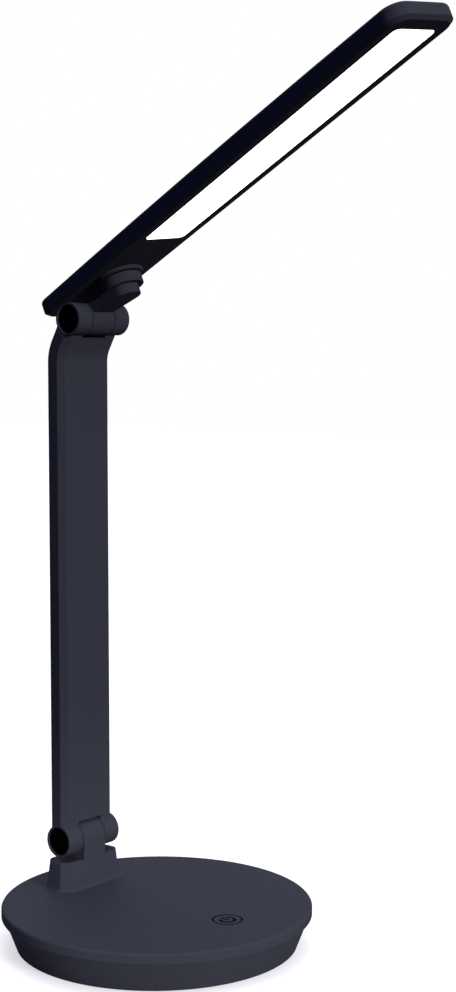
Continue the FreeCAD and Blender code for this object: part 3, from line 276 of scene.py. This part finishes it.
class LampMarkSettings(bpy.types.PropertyGroup):
    """Sizes and colours of the printed touch mark."""

    centre: FloatVectorProperty(name="Centre", description="Centre of the mark on the cover",
                                subtype="TRANSLATION", unit="LENGTH",
                                default=(0.0, -46.8 * MM, 21.2 * MM))
    ring_radius: FloatProperty(name="Ring", description="Outer radius of the ring",
                               default=7.9 * MM, unit="LENGTH", precision=5)
    ring_line: FloatProperty(name="Ring line", description="Width of the ring's line",
                             default=1.0 * MM, unit="LENGTH", precision=5)
    arc_radius: FloatProperty(name="Arc", description="Outer radius of the power symbol",
                              default=4.5 * MM, unit="LENGTH", precision=5)
    symbol_line: FloatProperty(name="Symbol line", description="Width of the power symbol's line",
                               default=1.6 * MM, unit="LENGTH", precision=5)
    gap: FloatProperty(name="Gap", description="Opening of the power symbol's arc",
                       default=math.radians(76), unit="ROTATION")
    bar_length: FloatProperty(name="Bar", description="Length of the power symbol's bar",
                              default=5.4 * MM, unit="LENGTH", precision=5)
    colour: FloatVectorProperty(name="Ink", description="Colour of the ink",
                                subtype="COLOR", size=4, default=linear("08080E"))
    shade: FloatVectorProperty(name="Ink shade", description="Darker tone of the ink",
                               subtype="COLOR", size=4, default=linear("06060A"))


class LampStageSettings(bpy.types.PropertyGroup):
    """Camera, lights and floor."""

    camera_place: FloatVectorProperty(name="Camera", description="Place of the camera",
                                      subtype="TRANSLATION", unit="LENGTH",
                                      default=(-672.1 * MM, -595.3 * MM, 311.96 * MM))
    heading: FloatProperty(name="Heading", description="Camera's turn from +Y about the vertical",
                           default=math.radians(-50.737), unit="ROTATION")
    pitch: FloatProperty(name="Pitch", description="Camera's tilt below level",
                         default=math.radians(5.14), unit="ROTATION")
    roll: FloatProperty(name="Roll", description="Camera's turn about its line of sight",
                        default=math.radians(0.267), unit="ROTATION")
    lens: FloatProperty(name="Lens", description="Focal length in mm on a 36 mm high sensor",
                        default=64.583)
    key: FloatProperty(name="Key", description="Light from the front, as a share of a plain level",
                       default=0.68)
    overhead: FloatProperty(name="Overhead", description="Light from above, as a share",
                            default=0.61)
    fill: FloatProperty(name="Fill", description="Light from behind, as a share", default=0.6)
    front_low: FloatProperty(name="Low front", description="Lamp low in front, as a share",
                             default=0.25)
    side_low: FloatProperty(name="Low side", description="Lamp low at the side, as a share",
                            default=0.008)
    around: FloatVectorProperty(name="Around", description="Cool light from all around",
                                subtype="COLOR", size=4, default=linear("353F81"))
    floor_colour: FloatVectorProperty(name="Floor", description="Colour of the floor",
                                      subtype="COLOR", size=4, default=linear("C8C8C8"))
    bounce_colour: FloatVectorProperty(name="Bounce", description="Floor as it lights the lamp",
                                       subtype="COLOR", size=4, default=linear("303030"))


class LAMP_OT_shells(bpy.types.Operator):
    """Finish the plastic shells and the hinges' end caps"""

    bl_idname = "lamp.shells"
    bl_label = "Finish shells"

    def execute(self, context):
        settings = context.scene.lamp_shell
        # ABS moulded in a spark-eroded tool: dark, dry and even, with a grain too fine to glitter
        shell = moulded_plastic("moulded_abs", settings.colour, settings.shade, settings.roughness,
                                settings.grain, settings.relief, settings.specular)
        dress(SHELL_NODES, shell)
        # Black ABS in the same texture, so deep that the caps read as holes
        cap = moulded_plastic("moulded_abs_black", settings.cap_colour, settings.cap_shade,
                              roughness=0.7, grain=settings.grain, relief=settings.relief,
                              specular=settings.specular / 2)
        dress(CAP_NODES, cap)
        return {"FINISHED"}


class LAMP_OT_panel(bpy.types.Operator):
    """Light the opal panel"""

    bl_idname = "lamp.panel"
    bl_label = "Light panel"

    def execute(self, context):
        settings = context.scene.lamp_panel
        dress(("diffuser",), opal_acrylic("opal_acrylic", settings.colour, settings.strength))
        return {"FINISHED"}


class LAMP_OT_inner_parts(bpy.types.Operator):
    """Finish the hardware, boards and leads inside the lamp, and the pad under it"""

    bl_idname = "lamp.inner_parts"
    bl_label = "Finish inner parts"

    def execute(self, context):
        dress(FOAM_NODES, closed_cell_foam("eva_foam", linear("26262A"), linear("141416")))
        dress(STEEL_NODES, plated_steel("zinc_plated_steel", linear("C9CCD0"), linear("B4B7BB")))
        # Black acetal, turned from rod: dense and slightly waxy
        dress(SLIP_NODES, moulded_plastic(
            "turned_acetal", linear("121214"), linear("0D0D0F"),
            roughness=0.5, grain=0.4 * MM, relief=0.01 * MM, specular=0.2))
        # Green lacquer over glass cloth
        dress(("control_board",), board_laminate(
            "fr4_green_mask", linear("1F6A3C"), linear("185A32"), weave=0.4 * MM))
        # White lacquer over aluminium, where the bands stand for its rolling marks
        dress(("led_board",), board_laminate(
            "aluminium_white_mask", linear("EDEDEA"), linear("E2E2DE"), weave=1.0 * MM))
        # Glass-filled nylon: near black with a slightly rough skin
        dress(CONNECTOR_NODES, moulded_plastic(
            "glass_filled_nylon", linear("1C1C1E"), linear("151517"),
            roughness=0.5, grain=0.3 * MM, relief=0.02 * MM, specular=0.4))
        # Silicone with phosphor: warm yellow and slightly waxy
        dress(("led_chips",), moulded_plastic(
            "phosphor_silicone", linear("F2D774"), linear("E9C95C"),
            roughness=0.4, grain=0.5 * MM, relief=0.01 * MM, specular=0.5))
        # Extruded PVC: smooth and black
        dress(LEAD_NODES, moulded_plastic(
            "extruded_pvc", linear("17171A"), linear("121215"),
            roughness=0.45, grain=1.5 * MM, relief=0.02 * MM, specular=0.4))
        return {"FINISHED"}


class LAMP_OT_touch_mark(bpy.types.Operator):
    """Print the touch mark, a ring round the common power symbol, on the base"""

    bl_idname = "lamp.touch_mark"
    bl_label = "Print touch mark"

    def execute(self, context):
        settings = context.scene.lamp_mark
        centre = Vector(settings.centre)
        ring = self.line_ring(centre, settings.ring_radius, settings.ring_line, gap=0)
        arc = self.line_ring(centre, settings.arc_radius, settings.symbol_line, settings.gap)
        bar = self.bar(centre, settings)
        deselect()
        for piece in (ring, arc, bar):
            piece.select_set(True)
        context.view_layer.objects.active = ring
        bpy.ops.object.join()
        mark = context.object
        mark.name = "touch_mark"
        # Pad-printed ink: a thin dull film over the shell's own texture
        ink = moulded_plastic("pad_printed_ink", settings.colour, settings.shade,
                              roughness=0.7, grain=0.5 * MM, relief=0.01 * MM, specular=0.001)
        mark.data.materials.clear()
        mark.data.materials.append(ink)
        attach(mark, "base")
        return {"FINISHED"}

    def line_ring(self, centre, radius, line, gap):
        """Model a flat ring, open towards +Y by an angle."""
        deselect()
        bottom = centre - Vector((0, 0, INK_SINK))
        bpy.ops.mesh.primitive_circle_add(vertices=RING_CORNERS, radius=radius, fill_type="NGON",
                                          location=bottom)
        ring = bpy.context.object
        bpy.ops.object.transform_apply(location=True, rotation=True, scale=True)
        bpy.ops.object.mode_set(mode="EDIT")
        bpy.ops.mesh.select_mode(type="FACE")
        bpy.ops.mesh.select_all(action="SELECT")
        bpy.ops.mesh.inset(thickness=line)
        bpy.ops.mesh.delete(type="FACE")

        def in_gap(point):
            across, along = point.x - centre.x, point.y - centre.y
            return abs(math.atan2(across, along)) < gap / 2
        if gap:
            select_faces(ring, in_gap)
            bpy.ops.mesh.delete(type="FACE")
        self.thicken()
        return ring

    def bar(self, centre, settings):
        """Model the bar in the power symbol's gap, with round ends."""
        deselect()
        width, length = settings.symbol_line, settings.bar_length
        middle = centre + Vector((0, settings.arc_radius - length / 2, -INK_SINK))
        bpy.ops.mesh.primitive_plane_add(size=1, location=middle)
        bar = bpy.context.object
        bar.scale = (width, length, 1)
        bpy.ops.object.transform_apply(location=True, rotation=True, scale=True)
        bpy.ops.object.mode_set(mode="EDIT")
        bpy.ops.mesh.select_all(action="SELECT")
        bpy.ops.mesh.bevel(offset=width * BAR_ROUNDING, segments=BAR_SEGMENTS, affect="VERTICES")
        self.thicken()
        return bar

    def thicken(self):
        """Give the flat mesh in edit mode the height of the ink."""
        bpy.ops.mesh.select_all(action="SELECT")
        height = INK_SINK + INK_RISE
        bpy.ops.mesh.extrude_region_move(TRANSFORM_OT_translate={"value": (0, 0, height)})
        bpy.ops.mesh.select_all(action="SELECT")
        bpy.ops.mesh.normals_make_consistent(inside=False)
        bpy.ops.object.mode_set(mode="OBJECT")


class LAMP_OT_stage(bpy.types.Operator):
    """Set the floor, the lights, the background and the camera"""

    bl_idname = "lamp.stage"
    bl_label = "Set stage"

    def execute(self, context):
        settings = context.scene.lamp_stage
        context.scene.view_settings.view_transform = "Standard"
        self.floor(settings)
        self.surroundings(context, settings)
        self.sun("key", KEY_FROM, settings.key, KEY_SPREAD)
        self.sun("overhead", OVERHEAD_FROM, settings.overhead, OVERHEAD_SPREAD)
        self.sun("fill", FILL_FROM, settings.fill, FILL_SPREAD)
        self.low_lamp("front_low", settings.front_low, **FRONT_LOW)
        self.low_lamp("side_low", settings.side_low, **SIDE_LOW)
        self.camera(context, settings)
        return {"FINISHED"}

    def seen_directly(self, tree):
        """Give 1 for what is seen, straight or in a reflection, and 0 for light that bounces."""
        path = add_node(tree, "ShaderNodeLightPath")
        mirrored = add_node(tree, "ShaderNodeMath", options={"operation": "ADD", "use_clamp": True})
        tree.links.new(path.outputs["Is Camera Ray"], mirrored.inputs[0])
        tree.links.new(path.outputs["Is Glossy Ray"], mirrored.inputs[1])
        through = add_node(tree, "ShaderNodeMath", options={"operation": "ADD", "use_clamp": True})
        tree.links.new(mirrored.outputs[0], through.inputs[0])
        tree.links.new(path.outputs["Is Transmission Ray"], through.inputs[1])
        return through.outputs[0]

    def floor(self, settings):
        """Lay a pale matte floor that shows as white and keeps the lamp's shadow."""
        deselect()
        bpy.ops.mesh.primitive_plane_add(size=FLOOR_SIDE, location=(0, 0, -FLOOR_DROP))
        floor = bpy.context.object
        floor.name = "floor"
        bpy.ops.object.transform_apply(location=True, rotation=True, scale=True)
        # Matte paper, sized and rolled: white and dry, with a faint tooth
        material, tree, place = new_material("matte_studio_paper")
        grit = add_node(tree, "ShaderNodeTexNoise", values={"Scale": 1 / GRIT},
                        links={"Vector": place})
        bump = add_node(tree, "ShaderNodeBump", values={"Strength": 0.1, "Distance": 0.02 * MM},
                        links={"Height": grit.outputs["Fac"]})
        bounce = add_node(tree, "ShaderNodeBsdfDiffuse", values={"Color": settings.bounce_colour},
                          links={"Normal": bump.outputs["Normal"]})
        paper = add_node(tree, "ShaderNodeBsdfDiffuse", values={"Color": settings.floor_colour},
                         links={"Normal": bump.outputs["Normal"]})
        white = add_node(tree, "ShaderNodeEmission", values={"Strength": FLOOR_GLOW})
        seen = add_node(tree, "ShaderNodeAddShader")
        tree.links.new(paper.outputs[0], seen.inputs[0])
        tree.links.new(white.outputs[0], seen.inputs[1])
        shader = add_node(tree, "ShaderNodeMixShader", links={"Fac": self.seen_directly(tree)})
        tree.links.new(bounce.outputs[0], shader.inputs[1])
        tree.links.new(seen.outputs[0], shader.inputs[2])
        close_material(tree, shader)
        floor.data.materials.append(material)

    def surroundings(self, context, settings):
        """Make the background white, and dim as a light."""
        world = bpy.data.worlds.new("studio")
        context.scene.world = world
        world.use_nodes = True
        tree = world.node_tree
        tree.nodes.clear()
        dim = add_node(tree, "ShaderNodeBackground", values={"Color": settings.around})
        white = add_node(tree, "ShaderNodeBackground", values={"Color": linear("FFFFFF")})
        mix = add_node(tree, "ShaderNodeMixShader", links={"Fac": self.seen_directly(tree)})
        tree.links.new(dim.outputs[0], mix.inputs[1])
        tree.links.new(white.outputs[0], mix.inputs[2])
        add_node(tree, "ShaderNodeOutputWorld", links={"Surface": mix.outputs[0]})

    def sun(self, name, towards, share, spread):
        """Add a soft light from a direction; a share of 1 shows a facing colour as written."""
        deselect()
        bpy.ops.object.light_add(type="SUN", location=Vector(towards) * 2)
        light = bpy.context.object
        light.name = name
        light.data.energy = math.pi * share
        light.data.angle = math.radians(spread)
        light.rotation_euler = Vector(towards).to_track_quat("Z", "Y").to_euler()

    def low_lamp(self, name, share, place, target, sides, beam):
        """Add an unseen soft lamp near the floor that gives a share of the level at a point."""
        deselect()
        spot = Vector(place) * MM
        bpy.ops.object.light_add(type="AREA", location=spot)
        light = bpy.context.object
        light.name = name
        light.data.shape = "RECTANGLE"
        light.data.size = sides[0] * MM
        light.data.size_y = sides[1] * MM
        light.data.spread = math.radians(beam)
        reach = spot - Vector(target) * MM
        light.data.energy = math.pi ** 2 * reach.length_squared * share
        light.rotation_euler = reach.to_track_quat("Z", "Y").to_euler()
        light.visible_camera = False
        light.visible_glossy = False

    def camera(self, context, settings):
        """Put the camera where the picture was taken from."""
        deselect()
        bpy.ops.object.camera_add()
        camera = context.object
        camera.name = "camera"
        level = Vector((-math.sin(settings.heading), math.cos(settings.heading), 0))
        upright = Vector((0, 0, 1))
        ahead = level * math.cos(settings.pitch) - upright * math.sin(settings.pitch)
        side = Vector((math.cos(settings.heading), math.sin(settings.heading), 0))
        top = level * math.sin(settings.pitch) + upright * math.cos(settings.pitch)
        right = side * math.cos(settings.roll) + top * math.sin(settings.roll)
        above = top * math.cos(settings.roll) - side * math.sin(settings.roll)
        turn = Matrix((right, above, -ahead)).transposed().to_4x4()
        camera.matrix_world = Matrix.Translation(settings.camera_place) @ turn
        camera.data.sensor_fit = "VERTICAL"
        camera.data.sensor_height = SENSOR_HEIGHT
        camera.data.lens = settings.lens
        camera.data.clip_start = NEAREST_SEEN
        context.scene.camera = camera


class LAMP_PT_panel(bpy.types.Panel):
    """Steps that dress the lamp, with their settings"""

    bl_idname = "LAMP_PT_panel"
    bl_label = "LED table lamp"
    bl_space_type = "VIEW_3D"
    bl_region_type = "UI"
    bl_category = "Lamp"

    def draw(self, context):
        for step, group in zip(STEPS, GROUPS):
            box = self.layout.box()
            box.operator(step.bl_idname)
            if group:
                settings = getattr(context.scene, group)
                for name in settings.bl_rna.properties.keys():
                    if name not in ("rna_type", "name"):
                        box.prop(settings, name)


STEPS = (LAMP_OT_shells, LAMP_OT_panel, LAMP_OT_inner_parts, LAMP_OT_touch_mark, LAMP_OT_stage)
GROUPS = ("lamp_shell", "lamp_panel", None, "lamp_mark", "lamp_stage")
SETTINGS = {
    "lamp_shell": LampShellSettings,
    "lamp_panel": LampPanelSettings,
    "lamp_mark": LampMarkSettings,
    "lamp_stage": LampStageSettings,
}


def register():
    """Register the settings, steps and panel."""
    for name, group in SETTINGS.items():
        bpy.utils.register_class(group)
        setattr(bpy.types.Scene, name, PointerProperty(type=group))
    for step in STEPS:
        bpy.utils.register_class(step)
    bpy.utils.register_class(LAMP_PT_panel)


def unregister():
    """Take the panel, steps and settings away again."""
    bpy.utils.unregister_class(LAMP_PT_panel)
    for step in reversed(STEPS):
        bpy.utils.unregister_class(step)
    for name, group in reversed(SETTINGS.items()):
        delattr(bpy.types.Scene, name)
        bpy.utils.unregister_class(group)


def main():
    """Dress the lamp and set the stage."""
    register()
    bpy.ops.lamp.shells()
    bpy.ops.lamp.panel()
    bpy.ops.lamp.inner_parts()
    bpy.ops.lamp.touch_mark()
    bpy.ops.lamp.stage()


if __name__ == "__main__":
    main()
